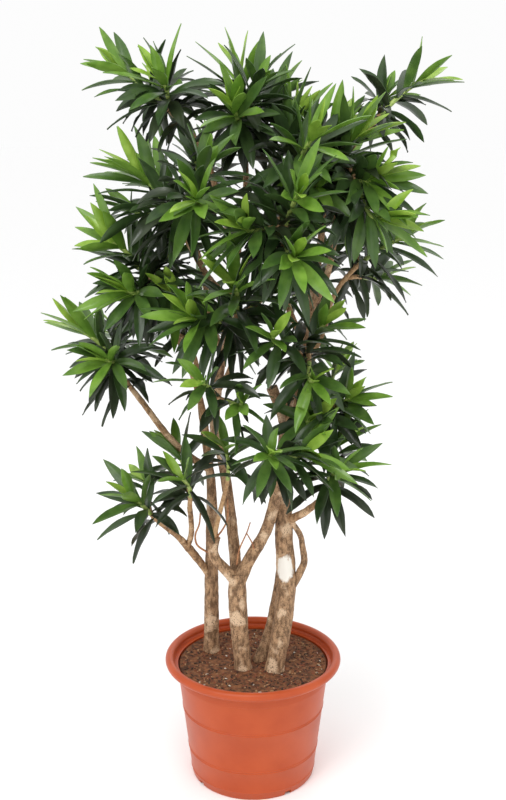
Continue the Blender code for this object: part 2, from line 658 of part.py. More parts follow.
def make_masses():
    """Every mass of leaves, each kept to the space that is nearest to its own shoots."""
    routes = {name: shoot_routes(limb, [Vector(t) for t in tips]) for name, (limb, tips) in MASSES.items()}
    limb_lines = segments([path for path, _, _ in LIMBS.values()])
    limb_radii = np.array([r for _, radii, _ in LIMBS.values() for r in zip(radii, radii[1:])])
    for name in MASSES:
        chance = random.Random(f"{SEED} {name}")
        own = segments(routes[name])
        rest = segments([path for other, paths in routes.items() if other != name for path in paths])
        pieces = []
        for path in routes[name]:
            pieces.append(swept_mesh(name, path, radius_along(path, (STEM_RADIUS, SHOOT_RADIUS)), TWIG_SIDES))
        taken = []
        for choices in (choices for path in routes[name] for choices in shoot_leaves(path, chance)):
            for blade in choices:
                points = leaf_samples(blade)
                near_own = distances(points, own)[0].min(1)
                near_rest = distances(points, rest)[0].min(1)
                gap, share = distances(points, limb_lines)
                thickness = limb_radii[:, 0] * (1 - share) + limb_radii[:, 1] * share
                flat = sheet(points)
                if (
                    (near_rest - near_own).min() > CELL_MARGIN
                    and (gap - thickness).min() > LIMB_CLEARANCE
                    and not any(flat.overlap(other) for other in taken)
                ):
                    taken.append(flat)
                    pieces.append(leaf_mesh(blade))
                    break
        join(name, pieces)


make_pot()
make_soil()
make_limbs()
make_boughs()
make_masses()
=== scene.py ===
"""The looks of a potted song of india dracaena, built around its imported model.

Metres, +Z up. The origin is the middle of the pot's flat underside, and -Y is the plant's front.
The sections follow the plant as it stands: pot, soil, stems and boughs, shoots, leaves, then the studio.
"""

import math
import random

import bmesh
import bpy
import numpy as np
from mathutils import Matrix, Vector, noise


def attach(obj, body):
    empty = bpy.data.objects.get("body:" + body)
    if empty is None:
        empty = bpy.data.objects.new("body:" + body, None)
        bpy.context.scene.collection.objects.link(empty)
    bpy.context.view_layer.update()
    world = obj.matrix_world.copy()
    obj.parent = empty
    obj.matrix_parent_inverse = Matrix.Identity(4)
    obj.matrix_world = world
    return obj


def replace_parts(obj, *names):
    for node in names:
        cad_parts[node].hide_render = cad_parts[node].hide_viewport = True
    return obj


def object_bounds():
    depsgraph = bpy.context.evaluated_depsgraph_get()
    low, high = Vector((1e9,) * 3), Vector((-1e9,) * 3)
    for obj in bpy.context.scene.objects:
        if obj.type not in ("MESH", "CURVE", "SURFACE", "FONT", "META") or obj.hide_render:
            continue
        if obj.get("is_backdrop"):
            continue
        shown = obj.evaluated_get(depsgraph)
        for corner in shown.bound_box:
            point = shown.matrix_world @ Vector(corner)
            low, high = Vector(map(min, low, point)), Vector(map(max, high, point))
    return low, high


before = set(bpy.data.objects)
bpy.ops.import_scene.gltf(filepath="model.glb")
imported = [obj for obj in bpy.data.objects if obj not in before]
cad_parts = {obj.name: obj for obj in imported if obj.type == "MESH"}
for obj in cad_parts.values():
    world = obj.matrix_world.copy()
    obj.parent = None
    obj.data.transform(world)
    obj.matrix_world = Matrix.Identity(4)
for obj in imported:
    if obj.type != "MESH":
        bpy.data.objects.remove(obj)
cad_low, cad_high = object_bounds()

# The pot is a nursery tub, injection moulded in terracotta-coloured polypropylene. Its thin wall tapers
# to the foot, and a collar, a rolled rim and faint double bands stiffen it. The foot has four notches,
# and the base has drain holes. The surface is smooth, with a soft sheen and faint drifts of tone.
POT_HEIGHT = 0.292
RIM_RADIUS = 0.200
BEAD_RADIUS = 0.0098
FOOT_RADIUS = 0.141
WALL_TOP_RADIUS = 0.1715
WALL = 0.004
COLLAR_BOTTOM = 0.243
COLLAR_STEP = 0.0015
COLLAR_LIP = 0.0018
LIP_HEIGHTS = (0.006, 0.002)
BEAD_TURNS = range(205, -121, -12)
BAND_HEIGHTS = (0.1735, 0.1690, 0.0745, 0.0695, 0.019)
BAND_DEPTH = 0.0010
BAND_HALF_WIDTH = 0.0014
FOOT_CHAMFER = 0.003
FOOT_CHAMFER_HEIGHT = 0.004
POT_STEPS = 160
NOTCHES = 4
NOTCH_TURN = math.radians(34)
NOTCH_SIZE = (0.016, 0.018, 0.018)
DRAINS = 6
DRAIN_RADIUS = 0.007
DRAIN_CIRCLE = 0.085
DRAIN_SIDES = 24
GAP = 0.0003


def linear(code):
    """An sRGB hex colour as linear red, green, blue and alpha."""
    parts = [int(code[i:i + 2], 16) / 255 for i in (1, 3, 5)]
    return (*(p / 12.92 if p <= 0.04045 else ((p + 0.055) / 1.055) ** 2.4 for p in parts), 1)


def add_node(material, kind, sockets=None, **settings):
    """A node in a material, with its settings, and each named input linked or set."""
    tree = material.node_tree
    made = tree.nodes.new(kind)
    for name, value in settings.items():
        setattr(made, name, value)
    for name, value in (sockets or {}).items():
        if isinstance(value, bpy.types.NodeSocket):
            tree.links.new(value, made.inputs[name])
        else:
            made.inputs[name].default_value = value
    return made


def empty_material(name):
    """A material with no nodes yet."""
    made = bpy.data.materials.new(name)
    made.use_nodes = True
    made.node_tree.nodes.clear()
    return made


def wall_radius(z):
    """The outer radius of the pot's tapering wall at a height."""
    return FOOT_RADIUS + (WALL_TOP_RADIUS - COLLAR_STEP - FOOT_RADIUS) * z / COLLAR_BOTTOM


def spun_mesh(name, outline, steps):
    """A turned mesh from (radius, height) pairs."""
    shape = bmesh.new()
    corners = [shape.verts.new((r, 0, z)) for r, z in outline]
    edges = [shape.edges.new(pair) for pair in zip(corners, corners[1:])]
    bmesh.ops.spin(
        shape, geom=corners + edges, axis=(0, 0, 1), cent=(0, 0, 0),
        angle=math.tau, steps=steps, use_merge=True,
    )
    bmesh.ops.remove_doubles(shape, verts=shape.verts, dist=1e-6)
    bmesh.ops.recalc_face_normals(shape, faces=shape.faces)
    mesh = bpy.data.meshes.new(name)
    shape.to_mesh(mesh)
    shape.free()
    return mesh


def add_piece(name, mesh, material):
    """A shown piece of the plant that rides on its one body."""
    made = bpy.data.objects.new(name, mesh)
    bpy.context.scene.collection.objects.link(made)
    mesh.materials.clear()
    mesh.materials.append(material)
    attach(made, "root")
    return made


bead_height = POT_HEIGHT - BEAD_RADIUS
outline = [(0, WALL), (FOOT_RADIUS - WALL, WALL), (wall_radius(COLLAR_BOTTOM) - WALL, COLLAR_BOTTOM)]
for turn in BEAD_TURNS:
    angle = math.radians(turn)
    outline.append((
        RIM_RADIUS - BEAD_RADIUS + BEAD_RADIUS * math.cos(angle),
        bead_height + BEAD_RADIUS * math.sin(angle),
    ))
outline += [
    (WALL_TOP_RADIUS, bead_height - BEAD_RADIUS),
    *((WALL_TOP_RADIUS + COLLAR_LIP, COLLAR_BOTTOM + height) for height in LIP_HEIGHTS),
    (wall_radius(COLLAR_BOTTOM), COLLAR_BOTTOM),
]
for height in BAND_HEIGHTS:
    for offset, depth in ((BAND_HALF_WIDTH, 0), (0, BAND_DEPTH), (-BAND_HALF_WIDTH, 0)):
        outline.append((wall_radius(height + offset) + depth, height + offset))
outline += [(FOOT_RADIUS, FOOT_CHAMFER_HEIGHT), (FOOT_RADIUS - FOOT_CHAMFER, 0), (0, 0)]

polypropylene = empty_material("moulded_terracotta_polypropylene")
place = add_node(polypropylene, "ShaderNodeTexCoord").outputs["Object"]
clouds = add_node(polypropylene, "ShaderNodeTexNoise", {"Vector": place, "Scale": 16, "Detail": 5})
spread = add_node(polypropylene, "ShaderNodeMapRange", {
    "Value": clouds.outputs[0], "From Min": 0.35, "From Max": 0.65,
})
tint = add_node(polypropylene, "ShaderNodeMixRGB", {
    "Fac": spread.outputs[0], "Color1": linear("#B0481F"), "Color2": linear("#B84F25"),
})
grain = add_node(polypropylene, "ShaderNodeTexNoise", {"Vector": place, "Scale": 900, "Detail": 2})
bump = add_node(polypropylene, "ShaderNodeBump", {
    "Height": grain.outputs[0], "Strength": 0.12, "Distance": 0.0004,
})
shader = add_node(polypropylene, "ShaderNodeBsdfPrincipled", {
    "Base Color": tint.outputs[0], "Roughness": 0.38, "IOR": 1.38, "Normal": bump.outputs[0],
})
add_node(polypropylene, "ShaderNodeOutputMaterial", {"Surface": shader.outputs[0]})

pot_mesh = spun_mesh("moulded_pot", outline, POT_STEPS)
pot = add_piece("moulded_pot", pot_mesh, polypropylene)
cutters = []
for i in range(NOTCHES):
    angle = NOTCH_TURN + i * math.tau / NOTCHES
    shape = bmesh.new()
    bmesh.ops.create_cube(shape, size=1, matrix=Matrix.Diagonal((*NOTCH_SIZE, 1)))
    bmesh.ops.rotate(shape, verts=shape.verts, cent=(0, 0, 0), matrix=Matrix.Rotation(angle, 3, "Z"))
    foot = Vector((FOOT_RADIUS * math.sin(angle), -FOOT_RADIUS * math.cos(angle), 0))
    bmesh.ops.translate(shape, verts=shape.verts, vec=foot)
    cutters.append(shape)
for i in range(DRAINS):
    angle = i * math.tau / DRAINS
    shape = bmesh.new()
    hole = Matrix.Translation((DRAIN_CIRCLE * math.cos(angle), DRAIN_CIRCLE * math.sin(angle), 0))
    bmesh.ops.create_cone(
        shape, cap_ends=True, segments=DRAIN_SIDES, radius1=DRAIN_RADIUS, radius2=DRAIN_RADIUS,
        depth=4 * WALL, matrix=hole,
    )
    cutters.append(shape)
for shape in cutters:
    mesh = bpy.data.meshes.new("cutter")
    shape.to_mesh(mesh)
    shape.free()
    cutter = bpy.data.objects.new("cutter", mesh)
    bpy.context.scene.collection.objects.link(cutter)
    cut = pot.modifiers.new("cut", "BOOLEAN")
    cut.operation = "DIFFERENCE"
    cut.object = cutter
graph = bpy.context.evaluated_depsgraph_get()
cut_mesh = bpy.data.meshes.new_from_object(pot.evaluated_get(graph))
for cut in list(pot.modifiers):
    bpy.data.objects.remove(cut.object)
    pot.modifiers.remove(cut)
pot.data = cut_mesh
cut_mesh.shade_smooth()
cut_mesh.set_sharp_from_angle(angle=math.radians(35))
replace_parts(pot, "pot")

# The soil is a loose mix of red-brown coir, bark chips and dark crumbs. It fills the pot to 22 mm under
# the rim and has settled unevenly. The chips lie on it, most of them flat.
SOIL_TOP = 0.270
SOIL_RINGS = 46
SOIL_STEPS = 140
SOIL_RELIEF = 0.0035
SOIL_LUMPS = 26
SOIL_INSET = 0.001
CHIP_INSET = 0.006
CHIP_TILT = 0.4
CHIP_LIFT = 0.3
CHIP_SIZES = ((0.003, 0.011), (0.002, 0.005), (0.0015, 0.003))
CHIP_KINDS = {
    "chips_red": ("#8C5136", "#6E3C28", 620),
    "chips_dark": ("#3A261C", "#241812", 420),
    "chips_tan": ("#B08A63", "#94704E", 190),
    "chips_pale": ("#D9D2C4", "#BEB5A4", 26),
}

soil_edge = wall_radius(SOIL_TOP) - WALL - GAP - SOIL_INSET


def soil_height(x, y):
    """The height of the soil's uneven surface."""
    rise = noise.fractal(Vector((x * SOIL_LUMPS, y * SOIL_LUMPS, 3.1)), 0.8, 2.1, 4)
    settled = 1 - (math.hypot(x, y) / soil_edge) ** 4
    return SOIL_TOP + SOIL_RELIEF * rise * settled


outline = [(soil_edge * i / SOIL_RINGS, SOIL_TOP) for i in range(SOIL_RINGS + 1)]
outline += [(FOOT_RADIUS - WALL - GAP, WALL + GAP), (0, WALL + GAP)]
soil_mesh = spun_mesh("coir_soil", outline, SOIL_STEPS)
for corner in soil_mesh.vertices:
    if corner.co.z > SOIL_TOP - 1e-4:
        corner.co.z = soil_height(corner.co.x, corner.co.y)
soil_mesh.shade_smooth()

coir = empty_material("coir_and_bark_mix")
place = add_node(coir, "ShaderNodeTexCoord").outputs["Object"]
crumbs = add_node(coir, "ShaderNodeTexVoronoi", {"Vector": place, "Scale": 230})
clouds = add_node(coir, "ShaderNodeTexNoise", {"Vector": place, "Scale": 90, "Detail": 6})
spread = add_node(coir, "ShaderNodeMapRange", {
    "Value": clouds.outputs[0], "From Min": 0.38, "From Max": 0.62,
})
tint = add_node(coir, "ShaderNodeMixRGB", {
    "Fac": spread.outputs[0], "Color1": linear("#4E2F1A"), "Color2": linear("#885735"),
})
bump = add_node(coir, "ShaderNodeBump", {
    "Height": crumbs.outputs["Distance"], "Strength": 0.9, "Distance": 0.003,
})
shader = add_node(coir, "ShaderNodeBsdfPrincipled", {
    "Base Color": tint.outputs[0], "Roughness": 0.95, "Normal": bump.outputs[0],
})
add_node(coir, "ShaderNodeOutputMaterial", {"Surface": shader.outputs[0]})
soil = add_piece("coir_soil", soil_mesh, coir)
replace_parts(soil, "soil")


def template_arrays(shape):
    """A small mesh as arrays of its corners and faces, to be repeated in a joined mesh."""
    shape.verts.index_update()
    corners = np.array([v.co for v in shape.verts], dtype=float)
    faces = [[v.index for v in f.verts] for f in shape.faces]
    shape.free()
    return corners, faces


def joined_mesh(name, blocks, faces):
    """One mesh of many copies of a template, each with its own corners."""
    size = len(blocks[0])
    repeated = [[i * size + corner for corner in face] for i in range(len(blocks)) for face in faces]
    mesh = bpy.data.meshes.new(name)
    mesh.from_pydata(np.concatenate(blocks).tolist(), [], repeated)
    return mesh


def mottled(name, dark, light, roughness, scale, bump_depth, detail=4, bump_strength=0.6, ior=1.5):
    """A natural surface whose colour drifts between two tones, with relief that follows the drift."""
    made = empty_material(name)
    place = add_node(made, "ShaderNodeTexCoord").outputs["Object"]
    clouds = add_node(made, "ShaderNodeTexNoise", {"Vector": place, "Scale": scale, "Detail": detail})
    spread = add_node(made, "ShaderNodeMapRange", {
        "Value": clouds.outputs[0], "From Min": 0.36, "From Max": 0.64,
    })
    tint = add_node(made, "ShaderNodeMixRGB", {
        "Fac": spread.outputs[0], "Color1": linear(dark), "Color2": linear(light),
    })
    bump = add_node(made, "ShaderNodeBump", {
        "Height": clouds.outputs[0], "Strength": bump_strength, "Distance": bump_depth,
    })
    shader = add_node(made, "ShaderNodeBsdfPrincipled", {
        "Base Color": tint.outputs[0], "Roughness": roughness, "IOR": ior, "Normal": bump.outputs[0],
    })
    add_node(made, "ShaderNodeOutputMaterial", {"Surface": shader.outputs[0]})
    return made


shape = bmesh.new()
bmesh.ops.create_icosphere(shape, subdivisions=1, radius=0.5)
chip, chip_faces = template_arrays(shape)
for kind, (dark, light, count) in CHIP_KINDS.items():
    chance = random.Random(kind)
    blocks = []
    for _ in range(count):
        distance = (soil_edge - CHIP_INSET) * math.sqrt(chance.random())
        turn = chance.uniform(0, math.tau)
        x, y = distance * math.cos(turn), distance * math.sin(turn)
        size = tuple(chance.uniform(*span) for span in CHIP_SIZES)
        tilt = Matrix.Rotation(chance.uniform(-CHIP_TILT, CHIP_TILT), 3, "X")
        pose = np.array(Matrix.Rotation(chance.uniform(0, math.tau), 3, "Z") @ tilt)
        jagged = chip * size * np.array([[chance.uniform(0.7, 1.2)] * 3 for _ in chip])
        blocks.append(jagged @ pose.T + (x, y, soil_height(x, y) + CHIP_LIFT * size[2]))
    mesh = joined_mesh(kind, blocks, chip_faces)
    add_piece(kind, mesh, mottled(kind + "_bark", dark, light, 0.9, 260, 0.0008))

# The stems and boughs are living wood under thin grey-brown bark, with faint ring scars where leaves fell,
# fine lengthwise cracks, dark specks and paler patches. Each bough leaves its parent with a slight collar.
STEM_SIDES = 28
BOUGH_SIDES = 18
RING_SPACING = 0.0045
CURVE_STEPS = 12
STEM_BURIED = 0.008
FLARE_HEIGHT = 0.022
FLARE = 0.12
FLARE_POWER = 1.5
COLLAR_REACH = 0.012
COLLAR_SWELL = 0.28
SCAR_SPACING = 0.013
SCAR_DEPTH = 0.0004
SCAR_SHARPNESS = 10
SCAR_SHIFT = 2.5
SCARS_AROUND = 1.5
SCARS_ALONG = 9
CRACK_DEPTH = 0.0009
CRACKS_AROUND = 5
CRACKS_ALONG = 45
LUMP_SHARE = 0.09
LUMPS_AROUND = 1.1
LUMPS_ALONG = 22
OLD_TONES = ("#6E5238", "#BA9570", "#D6B897")
PALE_PATCH = ((0.072, -0.016, 0.506), (0.019, 0.03, 0.033))
UP = Vector((0, 0, 1))
LIMBS = {}


def bark_material(name, dark, light, pale, patch=None):
    """Thin bark: two tones in upright streaks, dark specks, pale scuffs and at most one pale patch.

    The patch is given as its centre and its reach along each axis.
    """
    made = empty_material(name)
    place = add_node(made, "ShaderNodeTexCoord").outputs["Object"]
    upright = add_node(made, "ShaderNodeMapping", {"Vector": place, "Scale": (1, 1, 0.42)})
    streaks = add_node(made, "ShaderNodeTexNoise", {
        "Vector": upright.outputs[0], "Scale": 130, "Detail": 7, "Roughness": 0.65,
    })
    spread = add_node(made, "ShaderNodeMapRange", {
        "Value": streaks.outputs[0], "From Min": 0.39, "From Max": 0.6,
    })
    tint = add_node(made, "ShaderNodeMixRGB", {
        "Fac": spread.outputs[0], "Color1": linear(dark), "Color2": linear(light),
    })
    drift = add_node(made, "ShaderNodeTexNoise", {"Vector": place, "Scale": 24, "Detail": 4})
    scuffs = add_node(made, "ShaderNodeMapRange", {
        "Value": drift.outputs[0], "From Min": 0.55, "From Max": 0.63,
    })
    tint = add_node(made, "ShaderNodeMixRGB", {
        "Fac": scuffs.outputs[0], "Color1": tint.outputs[0], "Color2": linear(pale),
    })
    dots = add_node(made, "ShaderNodeTexNoise", {"Vector": place, "Scale": 420, "Detail": 2})
    specks = add_node(made, "ShaderNodeMapRange", {
        "Value": dots.outputs[0], "From Min": 0.58, "From Max": 0.66,
    })
    tint = add_node(made, "ShaderNodeMixRGB", {
        "Fac": specks.outputs[0], "Color1": tint.outputs[0], "Color2": linear("#4B3726"),
    })
    if patch:
        centre, reach = patch
        near = add_node(made, "ShaderNodeVectorMath", {0: place, 1: centre}, operation="SUBTRACT")
        sized = add_node(made, "ShaderNodeVectorMath", {0: near.outputs[0], 1: reach}, operation="DIVIDE")
        away = add_node(made, "ShaderNodeVectorMath", {0: sized.outputs[0]}, operation="LENGTH")
        edge = {0: away.outputs["Value"], 1: streaks.outputs[0]}
        ragged = add_node(made, "ShaderNodeMath", edge, operation="ADD")
        mask = add_node(made, "ShaderNodeMapRange", {
            "Value": ragged.outputs[0], "From Min": 1.5, "From Max": 1.3,
        })
        tint = add_node(made, "ShaderNodeMixRGB", {
            "Fac": mask.outputs[0], "Color1": tint.outputs[0], "Color2": linear("#F1ECE2"),
        })
    bump = add_node(made, "ShaderNodeBump", {
        "Height": streaks.outputs[0], "Strength": 0.9, "Distance": 0.0022,
    })
    shader = add_node(made, "ShaderNodeBsdfPrincipled", {
        "Base Color": tint.outputs[0], "Roughness": 0.8, "Normal": bump.outputs[0],
    })
    add_node(made, "ShaderNodeOutputMaterial", {"Surface": shader.outputs[0]})
    return made


old_bark = bark_material("old_stem_bark", *OLD_TONES)
patched_bark = bark_material("old_stem_bark_with_pale_patch", *OLD_TONES, patch=PALE_PATCH)
bough_bark = bark_material("bough_bark", "#7A5A3C", "#BC966E", "#D4B28C")


def smooth_route(points, spacing):
    """Points at even steps along the smooth curve through a route's own points."""
    route = [Vector(p) for p in points]
    route = [2 * route[0] - route[1], *route, 2 * route[-1] - route[-2]]
    fine = []
    for before, start, end, after in zip(route, route[1:], route[2:], route[3:]):
        for t in (i / CURVE_STEPS for i in range(CURVE_STEPS)):
            fine.append(0.5 * (
                2 * start
                + (end - before) * t
                + (2 * before - 5 * start + 4 * end - after) * t**2
                + (3 * start - before - 3 * end + after) * t**3
            ))
    fine.append(route[-2])
    return even_steps(fine, spacing)


def even_steps(points, spacing):
    """The same line with a point every so often."""
    lengths = [0.0]
    for a, b in zip(points, points[1:]):
        lengths.append(lengths[-1] + (b - a).length)
    count = max(3, round(lengths[-1] / spacing) + 1)
    wanted = np.linspace(0, lengths[-1], count)
    axes = [np.interp(wanted, lengths, [p[axis] for p in points]) for axis in range(3)]
    return [Vector(p) for p in zip(*axes)]


def bend(start, leaving, end, arriving, spacing):
    """Points along a limb that leaves one place in one direction and arrives at another in its own."""
    reach = (end - start).length / 3
    handles = (start, start + leaving.normalized() * reach, end - arriving.normalized() * reach, end)
    points = []
    for t in np.linspace(0, 1, max(4, round(3 * reach / spacing) + 1)).tolist():
        weights = ((1 - t) ** 3, 3 * t * (1 - t) ** 2, 3 * t**2 * (1 - t), t**3)
        points.append(sum((w * h for w, h in zip(weights, handles)), Vector()))
    return points


def radius_along(path, sizes):
    """A radius for each point of a path, from a few sizes spread evenly along it."""
    return np.interp(np.linspace(0, 1, len(path)), np.linspace(0, 1, len(sizes)), sizes).tolist()


def sweep(shape, path, radius_at, sides):
    """Extrudes a ring along a path, its radius set by a rule for each step and turn, and closes the ends."""
    corner = shape.verts.layers.int.get("corner") or shape.verts.layers.int.new("corner")
    ring = bmesh.ops.create_circle(shape, segments=sides, radius=1)["verts"]
    for i, vert in enumerate(ring):
        vert[corner] = i
    edges = list({edge for vert in ring for edge in vert.link_edges})
    ends = [list(edges)]
    across = (path[1] - path[0]).orthogonal().normalized()
    for step, centre in enumerate(path):
        if step:
            made = bmesh.ops.extrude_edge_only(shape, edges=edges)["geom"]
            ring = [g for g in made if isinstance(g, bmesh.types.BMVert)]
            edges = [g for g in made if isinstance(g, bmesh.types.BMEdge)]
            fresh = set(ring)
            edges = [e for e in edges if e.verts[0] in fresh and e.verts[1] in fresh]
        way = (path[min(step + 1, len(path) - 1)] - path[max(step - 1, 0)]).normalized()
        across = (across - way * across.dot(way)).normalized()
        beside = way.cross(across)
        for vert in ring:
            turn = math.tau * vert[corner] / sides
            vert.co = centre + (across * math.cos(turn) + beside * math.sin(turn)) * radius_at(step, turn)
    ends.append(edges)
    for rim in ends:
        bmesh.ops.contextual_create(shape, geom=rim)


def grow_limb(name, path, radii, sides, material, collar=True):
    """A stem or bough with the relief of its bark, in place of its plain solid."""
    LIMBS[name] = (path, radii)
    seed = random.Random(name).uniform(0, 50)
    total = sum((b - a).length for a, b in zip(path, path[1:]))
    spacing = total / (len(path) - 1)

    def radius_at(step, turn):
        along = step * spacing
        ring = Vector((math.cos(turn), math.sin(turn), 0))
        lumps = noise.noise(ring * LUMPS_AROUND + UP * (seed + along * LUMPS_ALONG))
        cracks = noise.fractal(ring * CRACKS_AROUND + UP * (seed + along * CRACKS_ALONG), 0.7, 2.2, 3)
        shift = SCAR_SHIFT * noise.noise(ring * SCARS_AROUND + UP * (seed + along * SCARS_ALONG))
        scar = max(0, math.cos(math.tau * along / SCAR_SPACING + shift)) ** SCAR_SHARPNESS
        swell = COLLAR_SWELL * math.exp(-along / COLLAR_REACH) if collar else 0
        return radii[step] * (1 + swell + LUMP_SHARE * lumps) + CRACK_DEPTH * cracks + SCAR_DEPTH * scar

    shape = bmesh.new()
    sweep(shape, path, radius_at, sides)
    bmesh.ops.recalc_face_normals(shape, faces=shape.faces)
    mesh = bpy.data.meshes.new("bark_" + name)
    shape.to_mesh(mesh)
    shape.free()
    mesh.shade_smooth()
    mesh.set_sharp_from_angle(angle=math.radians(60))
    piece = add_piece("bark_" + name, mesh, material)
    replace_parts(piece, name)


def make_stem(name, route, sizes, material=old_bark):
    """A stem that stands in the soil, with a slight root flare. Its sizes are spread from the soil up."""
    path = smooth_route([Vector(route[0]) - UP * STEM_BURIED, *route], RING_SPACING)
    heights = np.linspace(SOIL_TOP, path[-1].z, len(sizes))
    radii = []
    for p in path:
        flare = 1 + FLARE * max(0, 1 - (p.z - SOIL_TOP) / FLARE_HEIGHT) ** FLARE_POWER
        radii.append(min(float(np.interp(p.z, heights, sizes)) * flare, (1 + FLARE) * sizes[0]))
    grow_limb(name, path, radii, STEM_SIDES, material, collar=False)


def make_arm(name, route, sizes):
    """A limb that follows a route of its own from the fork that it leaves."""
    path = smooth_route(route, RING_SPACING)
    grow_limb(name, path, radius_along(path, sizes), STEM_SIDES, old_bark)


def place_on(name, height):
    """The point on a limb's centre line at a height."""
    path = LIMBS[name][0]
    for a, b in zip(path, path[1:]):
        if a.z <= height <= b.z:
            return a.lerp(b, (height - a.z) / (b.z - a.z))
    return path[-1]


def make_bough(name, parent, height, tip, leaving, arriving, sizes):
    """A bough from a height on its parent to a tip, leaving and arriving in the given directions."""
    path = bend(place_on(parent, height), Vector(leaving), Vector(tip), Vector(arriving), RING_SPACING)
    grow_limb(name, path, radius_along(path, sizes), BOUGH_SIDES, bough_bark)


make_stem("stem_left", [
    (-0.097, 0.060, 0.27), (-0.095, 0.055, 0.47), (-0.093, 0.048, 0.60), (-0.094, 0.043, 0.69),
    (-0.101, 0.041, 0.74),
], (0.0176, 0.0162, 0.0132, 0.0088))
make_stem("stem_front", [
    (-0.022, -0.030, 0.27), (-0.032, -0.030, 0.38), (-0.035, -0.030, 0.46), (-0.034, -0.030, 0.50),
], (0.0185, 0.0195, 0.0205, 0.0215, 0.0170))
make_stem("stem_right", [
    (0.048, -0.040, 0.27), (0.068, -0.020, 0.38), (0.075, -0.004, 0.48), (0.069, 0.006, 0.58),
    (0.069, 0.020, 0.70), (0.076, 0.040, 0.88),
], (0.0205, 0.0220, 0.0215, 0.0190, 0.0175, 0.0155), patched_bark)
make_stem("stem_back", [
    (0.016, 0.006, 0.27), (0.042, 0.026, 0.345), (0.064, 0.046, 0.46), (0.074, 0.062, 0.60),
    (0.085, 0.085, 0.80), (0.115, 0.098, 0.98), (0.140, 0.082, 1.16),
], (0.0135, 0.0130, 0.0120, 0.0105, 0.0085))
make_arm("arm_front_right", [
    (-0.034, -0.030, 0.480), (-0.006, -0.026, 0.534), (0.029, -0.020, 0.598), (0.047, -0.020, 0.663),
    (0.060, -0.035, 0.750), (0.066, -0.058, 0.850), (0.040, -0.070, 0.935),
], (0.0150, 0.0130, 0.0122, 0.0118, 0.0110, 0.0120))
make_arm("arm_front_left", [
    (-0.030, -0.030, 0.475), (-0.060, -0.030, 0.507), (-0.082, -0.030, 0.532), (-0.089, -0.030, 0.556),
    (-0.085, -0.030, 0.585),
], (0.0150, 0.0120, 0.0110, 0.0115, 0.0130))
make_arm("arm_front_middle", [
    (-0.036, -0.024, 0.470), (-0.041, 0.008, 0.530), (-0.049, 0.026, 0.607), (-0.066, 0.030, 0.737),
    (-0.084, 0.030, 0.820), (-0.072, 0.024, 0.950), (-0.045, 0.010, 1.110), (-0.024, 0.000, 1.270),
], (0.0130, 0.0118, 0.0112, 0.0100, 0.0085, 0.0070))
make_bough("bough_low_left", "stem_left", 0.455, (-0.205, -0.020, 0.615), (-0.5, -0.3, 0.8),
           (-0.75, -0.2, 0.6), (0.0095, 0.0085, 0.0092, 0.0065, 0.0058))
make_bough("bough_low_inner", "bough_low_left", 0.548, (-0.138, -0.035, 0.655), (0.45, -0.3, 0.8),
           (0.0, -0.5, 0.85), (0.0062, 0.0056))
make_bough("bough_left_mid", "stem_left", 0.722, (-0.262, 0.000, 0.915), (-0.85, -0.1, 0.4),
           (-0.6, -0.05, 0.8), (0.0085, 0.0070, 0.0058))
make_bough("bough_left_up", "stem_left", 0.728, (-0.185, 0.000, 1.070), (-0.05, 0.45, 0.9),
           (-0.5, -0.1, 0.85), (0.0085, 0.0070, 0.0058))
make_bough("bough_front", "arm_front_right", 0.745, (0.045, -0.170, 0.800), (-0.3, -0.85, 0.4),
           (-0.05, -0.85, 0.5), (0.0075, 0.0058))
make_bough("bough_right_low", "stem_right", 0.605, (0.150, -0.085, 0.700), (0.8, -0.35, 0.5),
           (0.3, -0.6, 0.7), (0.0100, 0.0080, 0.0062))
make_arm("shoot_loop", [
    (0.080, -0.002, 0.440), (0.103, -0.008, 0.488), (0.114, -0.010, 0.518), (0.111, -0.002, 0.548),
    (0.104, 0.002, 0.580), (0.075, 0.008, 0.622),
], (0.0080, 0.0090, 0.0070, 0.0062, 0.0062))
make_bough("bough_right_mid", "stem_right", 0.790, (0.140, -0.045, 0.850), (0.8, -0.3, 0.4),
           (0.5, -0.5, 0.6), (0.0078, 0.0058))
make_bough("bough_right_high", "stem_right", 0.865, (0.165, 0.055, 1.080), (0.4, 0.15, 0.9),
           (0.2, -0.05, 1.0), (0.0110, 0.0085, 0.0062))
make_bough("bough_top_right", "stem_back", 1.145, (0.222, 0.050, 1.440), (0.1, -0.15, 1.0),
           (0.7, 0.0, 0.7), (0.0080, 0.0066, 0.0058))
make_bough("bough_upper_right", "stem_back", 1.080, (0.170, -0.040, 1.270), (0.3, -0.75, 0.5),
           (0.05, -0.3, 0.95), (0.0072, 0.0058))
make_bough("bough_top_left", "arm_front_middle", 1.215, (-0.125, 0.000, 1.450), (-0.55, 0.0, 0.8),
           (-0.65, 0.0, 0.75), (0.0064, 0.0058))
make_bough("bough_top", "arm_front_middle", 1.250, (-0.015, 0.030, 1.390), (0.3, 0.1, 0.95),
           (0.0, 0.0, 1.0), (0.0066, 0.0058))
make_bough("bough_centre_top", "arm_front_middle", 1.150, (0.070, -0.030, 1.330), (0.7, -0.2, 0.6),
           (0.2, -0.2, 1.0), (0.0066, 0.0058))
make_bough("bough_front_high", "arm_front_middle", 1.050, (0.045, -0.150, 1.190), (0.4, -0.8, 0.45),
           (0.1, -0.6, 0.8), (0.0066, 0.0058))
make_bough("bough_left_high", "arm_front_middle", 1.110, (-0.130, -0.090, 1.240), (-0.75, -0.45, 0.5),
           (-0.4, -0.4, 0.8), (0.0066, 0.0058))
make_bough("bough_centre", "arm_front_middle", 0.900, (-0.040, -0.080, 1.020), (0.25, -0.75, 0.6),
           (0.0, -0.3, 0.95), (0.0066, 0.0058))
make_bough("bough_centre_right", "arm_front_right", 0.855, (0.095, -0.105, 0.950), (0.75, -0.35, 0.5),
           (0.1, -0.2, 1.0), (0.0070, 0.0058))
